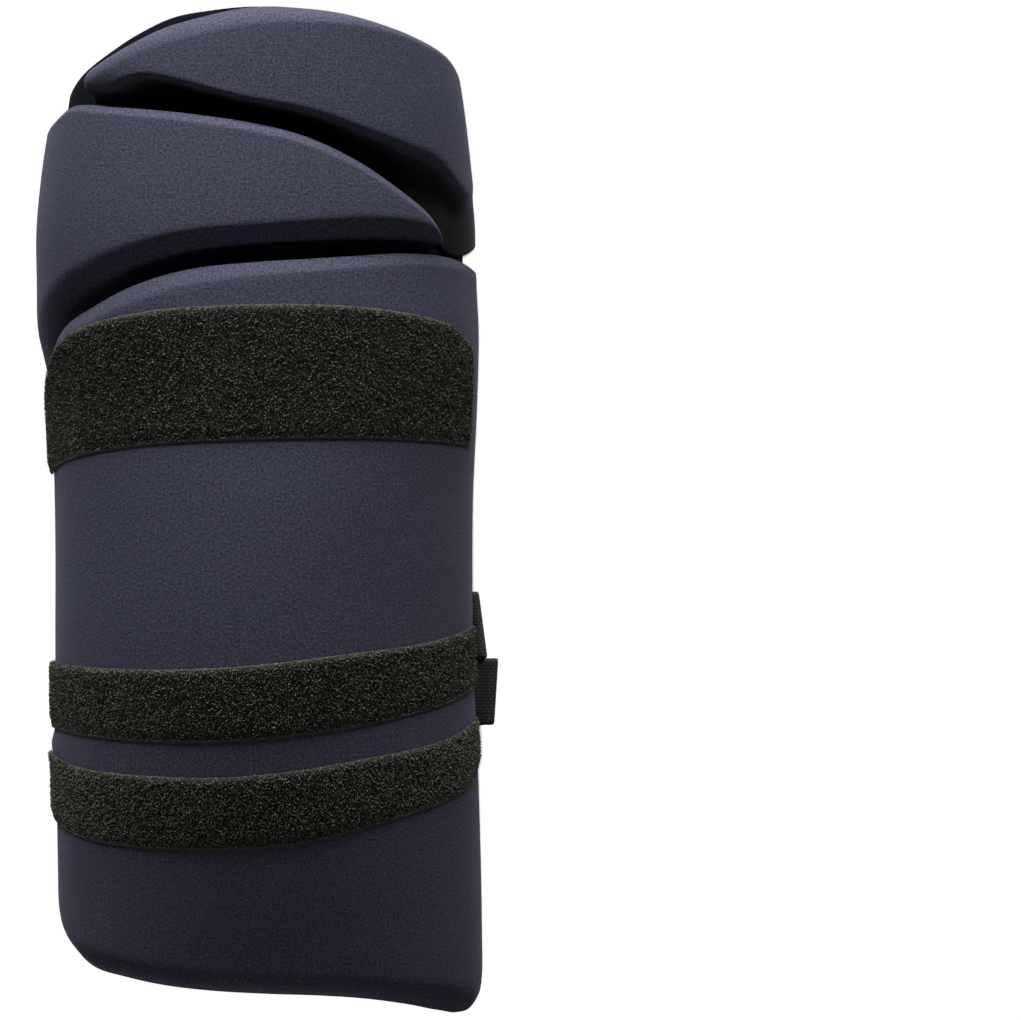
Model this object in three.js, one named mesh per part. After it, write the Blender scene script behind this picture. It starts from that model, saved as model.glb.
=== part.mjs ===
// Moulded thigh pad, lying hollow side down.
// Millimetres: +X across the thigh, +Y towards the hip, +Z out of the front.
import * as THREE from "three";

// Foam, lining and tape thicknesses
const FOAM_CROWN = 21;
const FOAM_RIM = 6.5;
const LINING = 2.2;
const LOOP_TAPE = 1.7;
const ELASTIC = 1.6;
const HOOK_TAPE = 1.2;

// Clearances between neighbouring pieces, and the floor width of the two flex grooves
const GAP = 0.3;
const LINING_GAP = 0.5;
const TAPE_GAP = 0.45;
const GROOVE = 2.5;

// Moves the pad so that its middle lies near the origin
const ORIGIN = { x: 0, y: 1.5 };

// Cross sections along the pad: the middle line, the half width at the floor and the height of the crown
const SECTIONS = [
  { y: -219, middle: 1.6, half: 93.4, crown: 49.5 },
  { y: -160, middle: 1, half: 93.3, crown: 66 },
  { y: -110, middle: 0, half: 92.8, crown: 77.2 },
  { y: -60, middle: -1.2, half: 92, crown: 83.7 },
  { y: 0, middle: -1.4, half: 92, crown: 86.4 },
  { y: 43, middle: -1.4, half: 93.8, crown: 86.4 },
  { y: 64, middle: -2.9, half: 96, crown: 86.2 },
  { y: 80, middle: -3.9, half: 97.2, crown: 86 },
  { y: 98, middle: -4.4, half: 97, crown: 85.3 },
  { y: 122, middle: -4.4, half: 97.2, crown: 84.3 },
  { y: 148, middle: -4.6, half: 94.6, crown: 82.4 },
  { y: 175, middle: -4.2, half: 91, crown: 80.4 },
  { y: 217, middle: -4.2, half: 84.5, crown: 76.8 },
];

// Lines that run across the pad, by the angle round the thigh from the crown:
// its bottom edge, the lower and the upper flex groove, and its top edge
const LINES = [
  { angle: -90, bottom: -176, lower: 50, upper: 163.5, top: 181 },
  { angle: -75, bottom: -190.7, lower: 60.5, upper: 168.3, top: 189 },
  { angle: -60, bottom: -199.4, lower: 76.3, upper: 173.4, top: 196 },
  { angle: -45, bottom: -203, lower: 85.5, upper: 171.5, top: 203.8 },
  { angle: -30, bottom: -206.2, lower: 94.6, upper: 169.3, top: 210.3 },
  { angle: -15, bottom: -208.2, lower: 100.6, upper: 166.6, top: 212.9 },
  { angle: 0, bottom: -209.3, lower: 103.3, upper: 163, top: 214.3 },
  { angle: 15, bottom: -210.2, lower: 105, upper: 157.6, top: 213.7 },
  { angle: 30, bottom: -212.1, lower: 106.8, upper: 147.8, top: 212.3 },
  { angle: 45, bottom: -215.2, lower: 108.6, upper: 134.6, top: 209 },
  { angle: 60, bottom: -218.7, lower: 108.7, upper: 121.1, top: 204.6 },
  { angle: 75, bottom: -219.6, lower: 106.6, upper: 107.4, top: 199.5 },
  { angle: 90, bottom: -208, lower: 101.5, upper: 113.5, top: 190 },
];

// How far the edges slope, by the same angle: the main pad's bottom rounding,
// the lower walls of the two hip segments, and the bevels along the upper edges of all three blocks
const RUNS = [
  { angle: -90, rounding: 12, midWall: 18, topWall: 8, mainBevel: 1.5, midBevel: 1.6, topBevel: 7 },
  { angle: -75, rounding: 12, midWall: 24, topWall: 9, mainBevel: 2.2, midBevel: 1.8, topBevel: 8 },
  { angle: -60, rounding: 11, midWall: 18.5, topWall: 5, mainBevel: 4.6, midBevel: 2.2, topBevel: 9 },
  { angle: -45, rounding: 10, midWall: 16.6, topWall: 6.6, mainBevel: 6, midBevel: 2.5, topBevel: 9 },
  { angle: -30, rounding: 9, midWall: 14, topWall: 11.6, mainBevel: 6.8, midBevel: 2.9, topBevel: 8.6 },
  { angle: 0, rounding: 8, midWall: 12.3, topWall: 7.1, mainBevel: 5.6, midBevel: 3.3, topBevel: 7.6 },
  { angle: 30, rounding: 9, midWall: 12.8, topWall: 11.1, mainBevel: 4.4, midBevel: 3.5, topBevel: 5.2 },
  { angle: 45, rounding: 10, midWall: 11, topWall: 17.4, mainBevel: 4.2, midBevel: 3.6, topBevel: 4.6 },
  { angle: 60, rounding: 12, midWall: 8, topWall: 24.6, mainBevel: 4, midBevel: 3.6, topBevel: 4.6 },
  { angle: 90, rounding: 10, midWall: 8, topWall: 27, mainBevel: 3, midBevel: 3.6, topBevel: 5 },
];

// Edge profiles: how much of the foam's depth is gone at each share of an edge's run
const WALL = [
  { share: 0, sunk: 0.86 },
  { share: 0.86, sunk: 0.12 },
  { share: 1, sunk: 0.02 },
  { share: 1.15, sunk: 0 },
];
const DROP = [
  { share: 0, sunk: 0.9 },
  { share: 0.8, sunk: 0.66 },
  { share: 0.94, sunk: 0.16 },
  { share: 1, sunk: 0.03 },
  { share: 1.15, sunk: 0 },
];
const ROUNDING = [
  { share: 0, sunk: 0.55 },
  { share: 0.25, sunk: 0.28 },
  { share: 0.6, sunk: 0.09 },
  { share: 1, sunk: 0 },
];
const BEVEL = [
  { share: 0, sunk: 0.15 },
  { share: 0.92, sunk: 0.02 },
  { share: 1.15, sunk: 0 },
];
const TOP_EDGE = [
  { share: 0, sunk: 0.6 },
  { share: 0.3, sunk: 0.3 },
  { share: 0.65, sunk: 0.1 },
  { share: 1, sunk: 0.02 },
  { share: 1.15, sunk: 0 },
];
const RIM = [
  { share: 0, sunk: 0.36 },
  { share: 0.35, sunk: 0.1 },
  { share: 1, sunk: 0 },
];
const TIP = [
  { share: 0, sunk: 0.75 },
  { share: 0.3, sunk: 0.42 },
  { share: 0.65, sunk: 0.14 },
  { share: 1, sunk: 0 },
];
const BLUNT_TIP = [
  { share: 0, sunk: 0.42 },
  { share: 0.3, sunk: 0.2 },
  { share: 0.65, sunk: 0.06 },
  { share: 1, sunk: 0 },
];
// The most of a block's height that its wall and bevel may take, where it runs out to a tip
const EDGES_AT_MOST = 0.94;

// Walls and bevels grow shallow towards the rims, where the foam is thin
const EDGE_FADE = { rim: 0.05, growth: 3 };

// Runs of the rounded rims and tips, and the radius that turns a run into an angle
const RIM_RUN = 7;
const MID_TIP_RUN = 17;
const TOP_TIP_RUN = 10;
const ARC_RADIUS = 88;

// Where the hip segments end across the pad, and how much lining shows past the top segment
const MID_TIP = 62.5;
const TOP_TIP = -62;
const LINING_SHOWN = { left: 6.5, right: 0.6, from: -42, to: 12 };
const LINING_TUCK = 1.5;

// Loop tapes on the front: lower edge and upper edge by angle
const WAIST_TAPE = [
  { angle: -84, low: 15, high: 46 },
  { angle: -60, low: 21, high: 70.8 },
  { angle: -30, low: 26.5, high: 82 },
  { angle: 0, low: 28.8, high: 85.4 },
  { angle: 30, low: 29.4, high: 84.8 },
  { angle: 60, low: 28, high: 79 },
  { angle: 74.3, low: 26.6, high: 70 },
];
const UPPER_TAPE = [
  { angle: -84, low: -95.4, high: -67 },
  { angle: -45, low: -98.6, high: -68.5 },
  { angle: -20, low: -99.3, high: -68.4 },
  { angle: 0, low: -97.8, high: -66.4 },
  { angle: 25, low: -93.3, high: -62 },
  { angle: 47, low: -87.6, high: -58.6 },
  { angle: 84, low: -77.8, high: -51 },
];
const LOWER_TAPE = [
  { angle: -84, low: -135, high: -106.5 },
  { angle: -57, low: -142.3, high: -112 },
  { angle: -33, low: -145.2, high: -113.9 },
  { angle: -10, low: -145, high: -114.2 },
  { angle: 10, low: -142.6, high: -111.2 },
  { angle: 32, low: -135, high: -106 },
  { angle: 54, low: -127.4, high: -101 },
  { angle: 70, low: -121.6, high: -95.9 },
  { angle: 84, low: -113, high: -91.4 },
];

// Elastic straps: sewn inside the right wall, led out under its rim, folded and laid back on the floor
const STRAP_WIDTH = 29;
const STRAP_LIFT = 6;
const STRAP_LIFT_SPAN = { low: -102, high: -29, ramp: 45 };
const STRAP_LAYER_Z = 3;
const STRAP_FOLD_RADIUS = 1.8;
const STRAP_FOLD_OVER = 20;
const STRAP_SETTLE_RADIUS = 4;
const STRAP_CORNER_RADIUS = 2.2;
const STRAP_TAB_START = 1;
const STRAP_TAB_END = 26;
const UPPER_STRAP = { foldX: 94.8, foldY: -51.1, lean: 7.5, slope: 7, endX: -58 };
const LOWER_STRAP = { foldX: 100.6, foldY: -80.4, lean: -3.5, slope: 7, endX: -62 };
const HOOK_LENGTH = 42;
const HOOK_INSET = 2;

// Facets of each surface
const GRID = {
  mainColumns: 25,
  mainRows: 14,
  segmentColumns: 23,
  segmentRows: 5,
  liningColumns: 26,
  liningRows: 28,
  tapeColumns: 26,
  tapeRows: 5,
  strapRun: 8,
  strapFold: 10,
  strapBend: 4,
  strapTab: 5,
};

// Colours from the photograph
const NAVY = { color: "#2b2c3a", roughness: 0.85, metalness: 0 };
const LINING_NAVY = { color: "#1d1e2a", roughness: 0.9, metalness: 0 };
const LOOP_BLACK = { color: "#191a19", roughness: 0.95, metalness: 0 };
const ELASTIC_BLACK = { color: "#1f1f1d", roughness: 0.9, metalness: 0 };
const HOOK_BLACK = { color: "#151515", roughness: 0.7, metalness: 0 };

const radians = THREE.MathUtils.degToRad;
const degrees = THREE.MathUtils.radToDeg;

// A column of a table as a smooth curve through its rows
function smooth(rows, key, column, value) {
  const last = rows.length - 1;
  const at = THREE.MathUtils.clamp(value, rows[0][key], rows[last][key]);
  const next = rows.findIndex((row) => at < row[key]);
  const i = next < 0 ? last - 1 : next - 1;
  const slope = (j) => {
    const before = rows[Math.max(j - 1, 0)];
    const after = rows[Math.min(j + 1, last)];
    return (after[column] - before[column]) / (after[key] - before[key]);
  };
  const width = rows[i + 1][key] - rows[i][key];
  const t = (at - rows[i][key]) / width;
  const start = rows[i][column] * (1 + 2 * t) * (1 - t) ** 2 + rows[i + 1][column] * t * t * (3 - 2 * t);
  return start + width * (slope(i) * t * (1 - t) ** 2 - slope(i + 1) * t * t * (1 - t));
}

const line = (name) => (angle) => smooth(LINES, "angle", name, angle);
const run = (name) => (angle) => smooth(RUNS, "angle", name, angle);

// An edge profile's sunk share at a distance in from the edge
function sunkAlong(profile, share) {
  const next = profile.findIndex((row) => share < row.share);
  if (next < 0) return 0;
  if (next === 0) return profile[0].sunk;
  const from = profile[next - 1];
  const to = profile[next];
  return THREE.MathUtils.mapLinear(share, from.share, to.share, from.sunk, to.sunk);
}

const lastShare = (profile) => profile[profile.length - 1].share;

// How far the right rim is lifted to let the folded straps out
function rimLift(angle, y) {
  const { low, high, ramp } = STRAP_LIFT_SPAN;
  const risen = THREE.MathUtils.smoothstep(y, low - ramp, low);
  const fallen = THREE.MathUtils.smoothstep(y, high, high + ramp);
  const towardsRim = Math.max(0, Math.sin(radians(angle))) ** 4;
  return STRAP_LIFT * risen * (1 - fallen) * towardsRim;
}

// A point of the arch, by the angle round the thigh, the height up the pad and the depth below the front
function place(angle, y, depth) {
  const middle = smooth(SECTIONS, "y", "middle", y);
  const half = smooth(SECTIONS, "y", "half", y);
  const lift = rimLift(angle, y);
  const rise = smooth(SECTIONS, "y", "crown", y) - lift;
  const sine = Math.sin(radians(angle));
  const cosine = Math.max(0, Math.cos(radians(angle)));
  const outward = new THREE.Vector2(sine / half, cosine / rise).normalize();
  const x = middle + half * sine - depth * outward.x;
  const z = lift + rise * cosine - depth * outward.y;
  return new THREE.Vector3(x, y, z);
}

function foamDepth(angle) {
  return FOAM_RIM + (FOAM_CROWN - FOAM_RIM) * Math.cos(radians(angle));
}

function edgeFade(angle) {
  return Math.min(1, EDGE_FADE.rim + EDGE_FADE.growth * Math.cos(radians(angle)));
}

const arcAngle = (length) => degrees(length / ARC_RADIUS);

// A foam block between two lines of the pad and two angles: a sloped lower wall, a bevelled upper edge
function foamBlock({ from, to, low, high, foot, wall, edge, bevel, leftEnd, rightEnd }) {
  const edgeRuns = (angle) => {
    const needed = wall(angle) * lastShare(foot) + bevel(angle) * lastShare(edge);
    const squeeze = Math.min(1, (EDGES_AT_MOST * (high(angle) - low(angle))) / needed);
    return { wallRun: wall(angle) * squeeze, bevelRun: bevel(angle) * squeeze };
  };
  const depth = (angle, y) => {
    const { wallRun, bevelRun } = edgeRuns(angle);
    const fade = edgeFade(angle);
    const kept =
      (1 - fade * sunkAlong(foot, (y - low(angle)) / wallRun)) *
      (1 - fade * sunkAlong(edge, (high(angle) - y) / bevelRun)) *
      (1 - sunkAlong(leftEnd.profile, (angle - from) / arcAngle(leftEnd.run))) *
      (1 - sunkAlong(rightEnd.profile, (to - angle) / arcAngle(rightEnd.run)));
    return foamDepth(angle) * (1 - kept);
  };
  const heights = (angle, inner) => {
    const { wallRun, bevelRun } = edgeRuns(angle);
    const lowRows = foot.map((row) => low(angle) + row.share * wallRun);
    const highRows = edge.map((row) => high(angle) - row.share * bevelRun).reverse();
    return [...lowRows, ...between(lowRows.at(-1), highRows[0], inner), ...highRows];
  };
  const angles = (inner) => {
    const left = leftEnd.profile.map((row) => from + row.share * arcAngle(leftEnd.run));
    const right = rightEnd.profile.map((row) => to - row.share * arcAngle(rightEnd.run)).reverse();
    return [...left, ...between(left.at(-1), right[0], inner), ...right];
  };
  return { depth, heights, angles };
}

// Evenly spaced values between two ends, without the ends
function between(start, end, count) {
  return Array.from({ length: count }, (_, i) => THREE.MathUtils.lerp(start, end, (i + 1) / (count + 1)));
}

const spread = (start, end, steps) => [start, ...between(start, end, steps - 1), end];

// A closed solid between a front grid and a back grid of points, columns across and rows up
function closedShell(front, back) {
  const columns = front.length;
  const rows = front[0].length;
  const positions = [...front.flat(), ...back.flat()].flatMap((point) => point.toArray());
  const f = (i, j) => i * rows + j;
  const b = (i, j) => columns * rows + i * rows + j;
  const index = [];
  const quad = (p, q, r, s) => index.push(p, q, r, p, r, s);
  for (let i = 0; i < columns - 1; i++) {
    for (let j = 0; j < rows - 1; j++) {
      quad(f(i, j), f(i + 1, j), f(i + 1, j + 1), f(i, j + 1));
      quad(b(i, j + 1), b(i + 1, j + 1), b(i + 1, j), b(i, j));
    }
    quad(b(i, 0), b(i + 1, 0), f(i + 1, 0), f(i, 0));
    quad(b(i + 1, rows - 1), b(i, rows - 1), f(i, rows - 1), f(i + 1, rows - 1));
  }
  for (let j = 0; j < rows - 1; j++) {
    quad(b(0, j + 1), b(0, j), f(0, j), f(0, j + 1));
    quad(b(columns - 1, j), b(columns - 1, j + 1), f(columns - 1, j + 1), f(columns - 1, j));
  }
  const geometry = new THREE.BufferGeometry();
  geometry.setAttribute("position", new THREE.Float32BufferAttribute(positions, 3));
  geometry.setIndex(index);
  geometry.computeVertexNormals();
  return geometry;
}

// A curved slab on the arch between two depths
function slab(angles, heights, frontDepth, backDepth) {
  const column = (depth) => (angle) => heights(angle).map((y) => place(angle, y, depth(angle, y)));
  const grid = (depth) => angles.map(column(depth));
  return closedShell(grid(frontDepth), grid(backDepth));
}

const group = new THREE.Group();

function addPiece(name, geometry, finish) {
  const mesh = new THREE.Mesh(geometry, new THREE.MeshStandardMaterial(finish));
  mesh.name = name;
  group.add(mesh);
}

// The three foam blocks
const rimEnd = { profile: RIM, run: RIM_RUN };
const midTip = { profile: BLUNT_TIP, run: MID_TIP_RUN };
const topTip = { profile: TIP, run: TOP_TIP_RUN };

function liningShown(angle) {
  const { left, right, from, to } = LINING_SHOWN;
  return THREE.MathUtils.lerp(left, right, THREE.MathUtils.smoothstep(angle, from, to));
}

const mainBlock = foamBlock({
  from: -90,
  to: 90,
  low: line("bottom"),
  high: line("lower"),
  foot: ROUNDING,
  wall: run("rounding"),
  edge: BEVEL,
  bevel: run("mainBevel"),
  leftEnd: rimEnd,
  rightEnd: rimEnd,
});
const midBlock = foamBlock({
  from: -90,
  to: MID_TIP,
  low: (angle) => line("lower")(angle) + GROOVE,
  high: line("upper"),
  foot: WALL,
  wall: run("midWall"),
  edge: BEVEL,
  bevel: run("midBevel"),
  leftEnd: rimEnd,
  rightEnd: midTip,
});
const topBlock = foamBlock({
  from: TOP_TIP,
  to: 90,
  low: (angle) => line("upper")(angle) + GROOVE,
  high: (angle) => line("top")(angle) - liningShown(angle),
  foot: DROP,
  wall: run("topWall"),
  edge: TOP_EDGE,
  bevel: run("topBevel"),
  leftEnd: topTip,
  rightEnd: rimEnd,
});

function addFoam(name, block, columns, rows) {
  const heights = (angle) => block.heights(angle, rows);
  addPiece(name, slab(block.angles(columns), heights, block.depth, foamDepth), NAVY);
}

addFoam("main_pad", mainBlock, GRID.mainColumns, GRID.mainRows);
addFoam("mid_segment", midBlock, GRID.segmentColumns, GRID.segmentRows);
addFoam("top_segment", topBlock, GRID.segmentColumns, GRID.segmentRows);

// The lining sheet behind them
const liningFront = (angle) => foamDepth(angle) + LINING_GAP;
const liningBack = (angle) => liningFront(angle) + LINING;
const liningHeights = (angle) =>
  spread(line("bottom")(angle) + LINING_TUCK, line("top")(angle), GRID.liningRows);
const liningAngles = spread(-90, 90, GRID.liningColumns);
addPiece("lining", slab(liningAngles, liningHeights, liningFront, liningBack), LINING_NAVY);

// The loop tapes on the front of the main block
function addTape(name, rows) {
  const angles = spread(rows[0].angle, rows.at(-1).angle, GRID.tapeColumns);
  const heights = (angle) =>
    spread(smooth(rows, "angle", "low", angle), smooth(rows, "angle", "high", angle), GRID.tapeRows);
  const under = (angle, y) => mainBlock.depth(angle, y) - TAPE_GAP;
  const over = (angle, y) => under(angle, y) - LOOP_TAPE;
  addPiece(name, slab(angles, heights, over, under), LOOP_BLACK);
}

addTape("waist_loop_tape", WAIST_TAPE);
addTape("upper_loop_tape", UPPER_TAPE);
addTape("lower_loop_tape", LOWER_TAPE);

// A point on the lower layer of a strap, which drifts down the pad as it runs to its free end
function strapOnFloor(strap, across, x, z) {
  const drift = Math.min(0, x - strap.foldX) * Math.tan(radians(strap.slope));
  return new THREE.Vector3(x - across * Math.tan(radians(strap.lean)), strap.foldY + across + drift, z);
}

// One edge of a strap's middle sheet, from its free end to the top of its sewn tab
function strapEdge(strap, across) {
  const turnX = strap.foldX - STRAP_FOLD_RADIUS - ELASTIC / 2;
  const runX = spread(strap.endX, turnX, GRID.strapRun);
  const points = runX.map((x) => strapOnFloor(strap, across, x, ELASTIC / 2));
  const at = points.at(-1).clone();
  let heading = 0;
  const go = (length) => {
    at.x += length * Math.cos(heading);
    at.z += length * Math.sin(heading);
    points.push(at.clone());
  };
  const bend = (radius, turn, steps) => {
    const half = radians(turn / steps / 2);
    for (let i = 0; i < steps; i++) {
      heading += half;
      go(2 * radius * Math.sin(Math.abs(half)));
      heading += half;
    }
  };
  bend(STRAP_FOLD_RADIUS, 180 + STRAP_FOLD_OVER, GRID.strapFold);
  const settle = STRAP_SETTLE_RADIUS * (1 - Math.cos(radians(STRAP_FOLD_OVER)));
  go((at.z - STRAP_LAYER_Z - settle) / Math.sin(radians(STRAP_FOLD_OVER)));
  bend(STRAP_SETTLE_RADIUS, -STRAP_FOLD_OVER, GRID.strapBend);
  const tab = tabEdge(at.y);
  go(at.x - tab[0].x - STRAP_CORNER_RADIUS);
  bend(STRAP_CORNER_RADIUS, -90, GRID.strapBend);
  return [...points, ...tab];
}

// One edge of the sewn tab, up the inside of the right wall
function tabEdge(y) {
  const angles = spread(90 - arcAngle(STRAP_TAB_START), 90 - arcAngle(STRAP_TAB_END), GRID.strapTab);
  return angles.map((angle) => place(angle, y, liningBack(angle) + GAP + ELASTIC / 2));
}

// A flat band of even thickness between two edges of its middle sheet
function ribbon(edges, thickness) {
  const side = (offset) =>
    edges[0].map((_, i) =>
      edges.map((edge) => {
        const along = edge[Math.min(i + 1, edge.length - 1)].clone().sub(edge[Math.max(i - 1, 0)]);
        const length = Math.hypot(along.x, along.z);
        return edge[i].clone().add(new THREE.Vector3(-along.z, 0, along.x).multiplyScalar(offset / length));
      }),
    );
  return closedShell(side(thickness / 2), side(-thickness / 2));
}

const STRAP_EDGES = [-STRAP_WIDTH / 2, STRAP_WIDTH / 2];

// A strap and the hook patch on its free end
function addStrap(name, strap) {
  addPiece(name, ribbon(STRAP_EDGES.map((across) => strapEdge(strap, across)), ELASTIC), ELASTIC_BLACK);
  const hookZ = ELASTIC + GAP + HOOK_TAPE / 2;
  const hookStart = strap.endX + HOOK_INSET;
  const hookEdge = (across) =>
    [hookStart, hookStart + HOOK_LENGTH].map((x) => strapOnFloor(strap, across, x, hookZ));
  addPiece(`${name}_hook`, ribbon(STRAP_EDGES.map(hookEdge), HOOK_TAPE), HOOK_BLACK);
}

addStrap("upper_strap", UPPER_STRAP);
addStrap("lower_strap", LOWER_STRAP);

group.position.set(ORIGIN.x, ORIGIN.y, 0);

export default group;
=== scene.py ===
import math

import bpy
import numpy as np
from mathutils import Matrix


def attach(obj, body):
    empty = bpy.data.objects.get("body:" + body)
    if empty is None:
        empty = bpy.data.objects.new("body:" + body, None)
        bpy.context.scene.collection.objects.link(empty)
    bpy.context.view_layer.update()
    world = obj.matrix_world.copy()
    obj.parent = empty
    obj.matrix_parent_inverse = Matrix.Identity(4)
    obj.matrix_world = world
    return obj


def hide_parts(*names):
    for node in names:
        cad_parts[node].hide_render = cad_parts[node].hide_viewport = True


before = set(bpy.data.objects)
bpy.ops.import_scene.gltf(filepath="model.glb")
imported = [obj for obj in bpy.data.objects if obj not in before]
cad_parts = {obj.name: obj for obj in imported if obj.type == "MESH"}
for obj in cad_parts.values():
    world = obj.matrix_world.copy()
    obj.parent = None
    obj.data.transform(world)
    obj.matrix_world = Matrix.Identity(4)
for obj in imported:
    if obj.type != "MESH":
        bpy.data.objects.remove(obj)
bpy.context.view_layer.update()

# Camera, straight above the pad as in the photograph
CAMERA_AT = (0.106855, 0.00064, 1.8743)
CAMERA_LENS = 150
CAMERA_SENSOR = 36

camera_data = bpy.data.cameras.new("camera")
camera_data.lens = CAMERA_LENS
camera_data.sensor_width = CAMERA_SENSOR
camera = bpy.data.objects.new("camera", camera_data)
camera.location = CAMERA_AT
bpy.context.collection.objects.link(camera)
bpy.context.scene.camera = camera

# Thicknesses, clearances and the frame's origin, as in the part's source
MILLIMETRE = 0.001
FOAM_CROWN = 21
FOAM_RIM = 6.5
LINING = 2.2
ELASTIC = 1.6
HOOK_TAPE = 1.2
GAP = 0.3
LINING_GAP = 0.5
GROOVE = 2.5
ORIGIN = np.array([0, 1.5, 0])

# Cross sections along the pad: height up the pad, middle line, half width at the floor, crown
SECTIONS = np.array([
    (-219, 1.6, 93.4, 49.5),
    (-160, 1, 93.3, 66),
    (-110, 0, 92.8, 77.2),
    (-60, -1.2, 92, 83.7),
    (0, -1.4, 92, 86.4),
    (43, -1.4, 93.8, 86.4),
    (64, -2.9, 96, 86.2),
    (80, -3.9, 97.2, 86),
    (98, -4.4, 97, 85.3),
    (122, -4.4, 97.2, 84.3),
    (148, -4.6, 94.6, 82.4),
    (175, -4.2, 91, 80.4),
    (217, -4.2, 84.5, 76.8),
])
MIDDLE, HALF, CROWN = 1, 2, 3

# Lines across the pad by the angle round the thigh: bottom edge, lower and upper flex groove, top edge
LINES = np.array([
    (-90, -176, 50, 163.5, 181),
    (-75, -190.7, 60.5, 168.3, 189),
    (-60, -199.4, 76.3, 173.4, 196),
    (-45, -203, 85.5, 171.5, 203.8),
    (-30, -206.2, 94.6, 169.3, 210.3),
    (-15, -208.2, 100.6, 166.6, 212.9),
    (0, -209.3, 103.3, 163, 214.3),
    (15, -210.2, 105, 157.6, 213.7),
    (30, -212.1, 106.8, 147.8, 212.3),
    (45, -215.2, 108.6, 134.6, 209),
    (60, -218.7, 108.7, 121.1, 204.6),
    (75, -219.6, 106.6, 107.4, 199.5),
    (90, -208, 101.5, 113.5, 190),
])
BOTTOM, LOWER, UPPER, TOP = 1, 2, 3, 4

# How far the edges slope by the same angle: bottom rounding, hip segments' walls, three bevels
RUNS = np.array([
    (-90, 12, 18, 8, 1.5, 1.6, 7),
    (-75, 12, 24, 9, 2.2, 1.8, 8),
    (-60, 11, 18.5, 5, 4.6, 2.2, 9),
    (-45, 10, 16.6, 6.6, 6, 2.5, 9),
    (-30, 9, 14, 11.6, 6.8, 2.9, 8.6),
    (0, 8, 12.3, 7.1, 5.6, 3.3, 7.6),
    (30, 9, 12.8, 11.1, 4.4, 3.5, 5.2),
    (45, 10, 11, 17.4, 4.2, 3.6, 4.6),
    (60, 12, 8, 24.6, 4, 3.6, 4.6),
    (90, 10, 8, 27, 3, 3.6, 5),
])
ROUNDING_RUN, MID_WALL, TOP_WALL, MAIN_BEVEL, MID_BEVEL, TOP_BEVEL = 1, 2, 3, 4, 5, 6

# Edge profiles: share of an edge's run, and how much of the foam's depth is gone there
WALL = np.array([(0, 0.86), (0.86, 0.12), (1, 0.02), (1.15, 0)])
DROP = np.array([(0, 0.9), (0.8, 0.66), (0.94, 0.16), (1, 0.03), (1.15, 0)])
ROUNDING = np.array([(0, 0.55), (0.25, 0.28), (0.6, 0.09), (1, 0)])
BEVEL = np.array([(0, 0.15), (0.92, 0.02), (1.15, 0)])
TOP_EDGE = np.array([(0, 0.6), (0.3, 0.3), (0.65, 0.1), (1, 0.02), (1.15, 0)])
RIM = np.array([(0, 0.36), (0.35, 0.1), (1, 0)])
TIP = np.array([(0, 0.75), (0.3, 0.42), (0.65, 0.14), (1, 0)])
BLUNT_TIP = np.array([(0, 0.42), (0.3, 0.2), (0.65, 0.06), (1, 0)])

# How the edges share a narrow block and fade at the rims, and where the hip segments end
EDGES_AT_MOST = 0.94
EDGE_FADE_RIM = 0.05
EDGE_FADE_GROWTH = 3
RIM_RUN = 7
MID_TIP_RUN = 17
TOP_TIP_RUN = 10
ARC_RADIUS = 88
MID_TIP = 62.5
TOP_TIP = -62

# Lining that shows past the top edge, wider at the left, and its tuck at the bottom edge
LINING_SHOWN_LEFT = 6.5
LINING_SHOWN_RIGHT = 0.6
LINING_SHOWN_FROM = -42
LINING_SHOWN_TO = 12
LINING_TUCK = 1.5

# Loop tapes by angle: lower edge and upper edge
LOW, HIGH = 1, 2
WAIST_TAPE = np.array([
    (-84, 15, 46),
    (-60, 21, 70.8),
    (-30, 26.5, 82),
    (0, 28.8, 85.4),
    (30, 29.4, 84.8),
    (60, 28, 79),
    (74.3, 26.6, 70),
])
UPPER_TAPE = np.array([
    (-84, -95.4, -67),
    (-45, -98.6, -68.5),
    (-20, -99.3, -68.4),
    (0, -97.8, -66.4),
    (25, -93.3, -62),
    (47, -87.6, -58.6),
    (84, -77.8, -51),
])
LOWER_TAPE = np.array([
    (-84, -135, -106.5),
    (-57, -142.3, -112),
    (-33, -145.2, -113.9),
    (-10, -145, -114.2),
    (10, -142.6, -111.2),
    (32, -135, -106),
    (54, -127.4, -101),
    (70, -121.6, -95.9),
    (84, -113, -91.4),
])
TAPES = {"waist_loop_tape": WAIST_TAPE, "upper_loop_tape": UPPER_TAPE, "lower_loop_tape": LOWER_TAPE}

# Straps: fold's place, lean of the fold, slope along the floor, place of the free end, added painted light
STRAP_WIDTH = 29
STRAP_LIFT = 6
STRAP_LIFT_LOW = -102
STRAP_LIFT_HIGH = -29
STRAP_LIFT_RAMP = 45
STRAP_LIFT_POWER = 4
STRAP_LAYER_Z = 3
STRAP_FOLD_RADIUS = 1.8
STRAP_FOLD_OVER = 20
STRAP_SETTLE_RADIUS = 4
STRAP_CORNER_RADIUS = 2.2
STRAP_TAB_START = 1
STRAP_TAB_END = 26
STRAPS = {
    "upper_strap": {
        "fold_x": 94.8, "fold_y": -51.1, "lean": 7.5, "slope": 7, "end_x": -58, "painted_light": 0.5,
    },
    "lower_strap": {
        "fold_x": 100.6, "fold_y": -80.4, "lean": -3.5, "slope": 7, "end_x": -62, "painted_light": 0,
    },
}
SELVAGE_WIDTH = 1.2
SELVAGE_THIN = 0.5
SELVAGE_BULGE = 0.12
HOOK_LENGTH = 42
HOOK_INSET = 2

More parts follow.
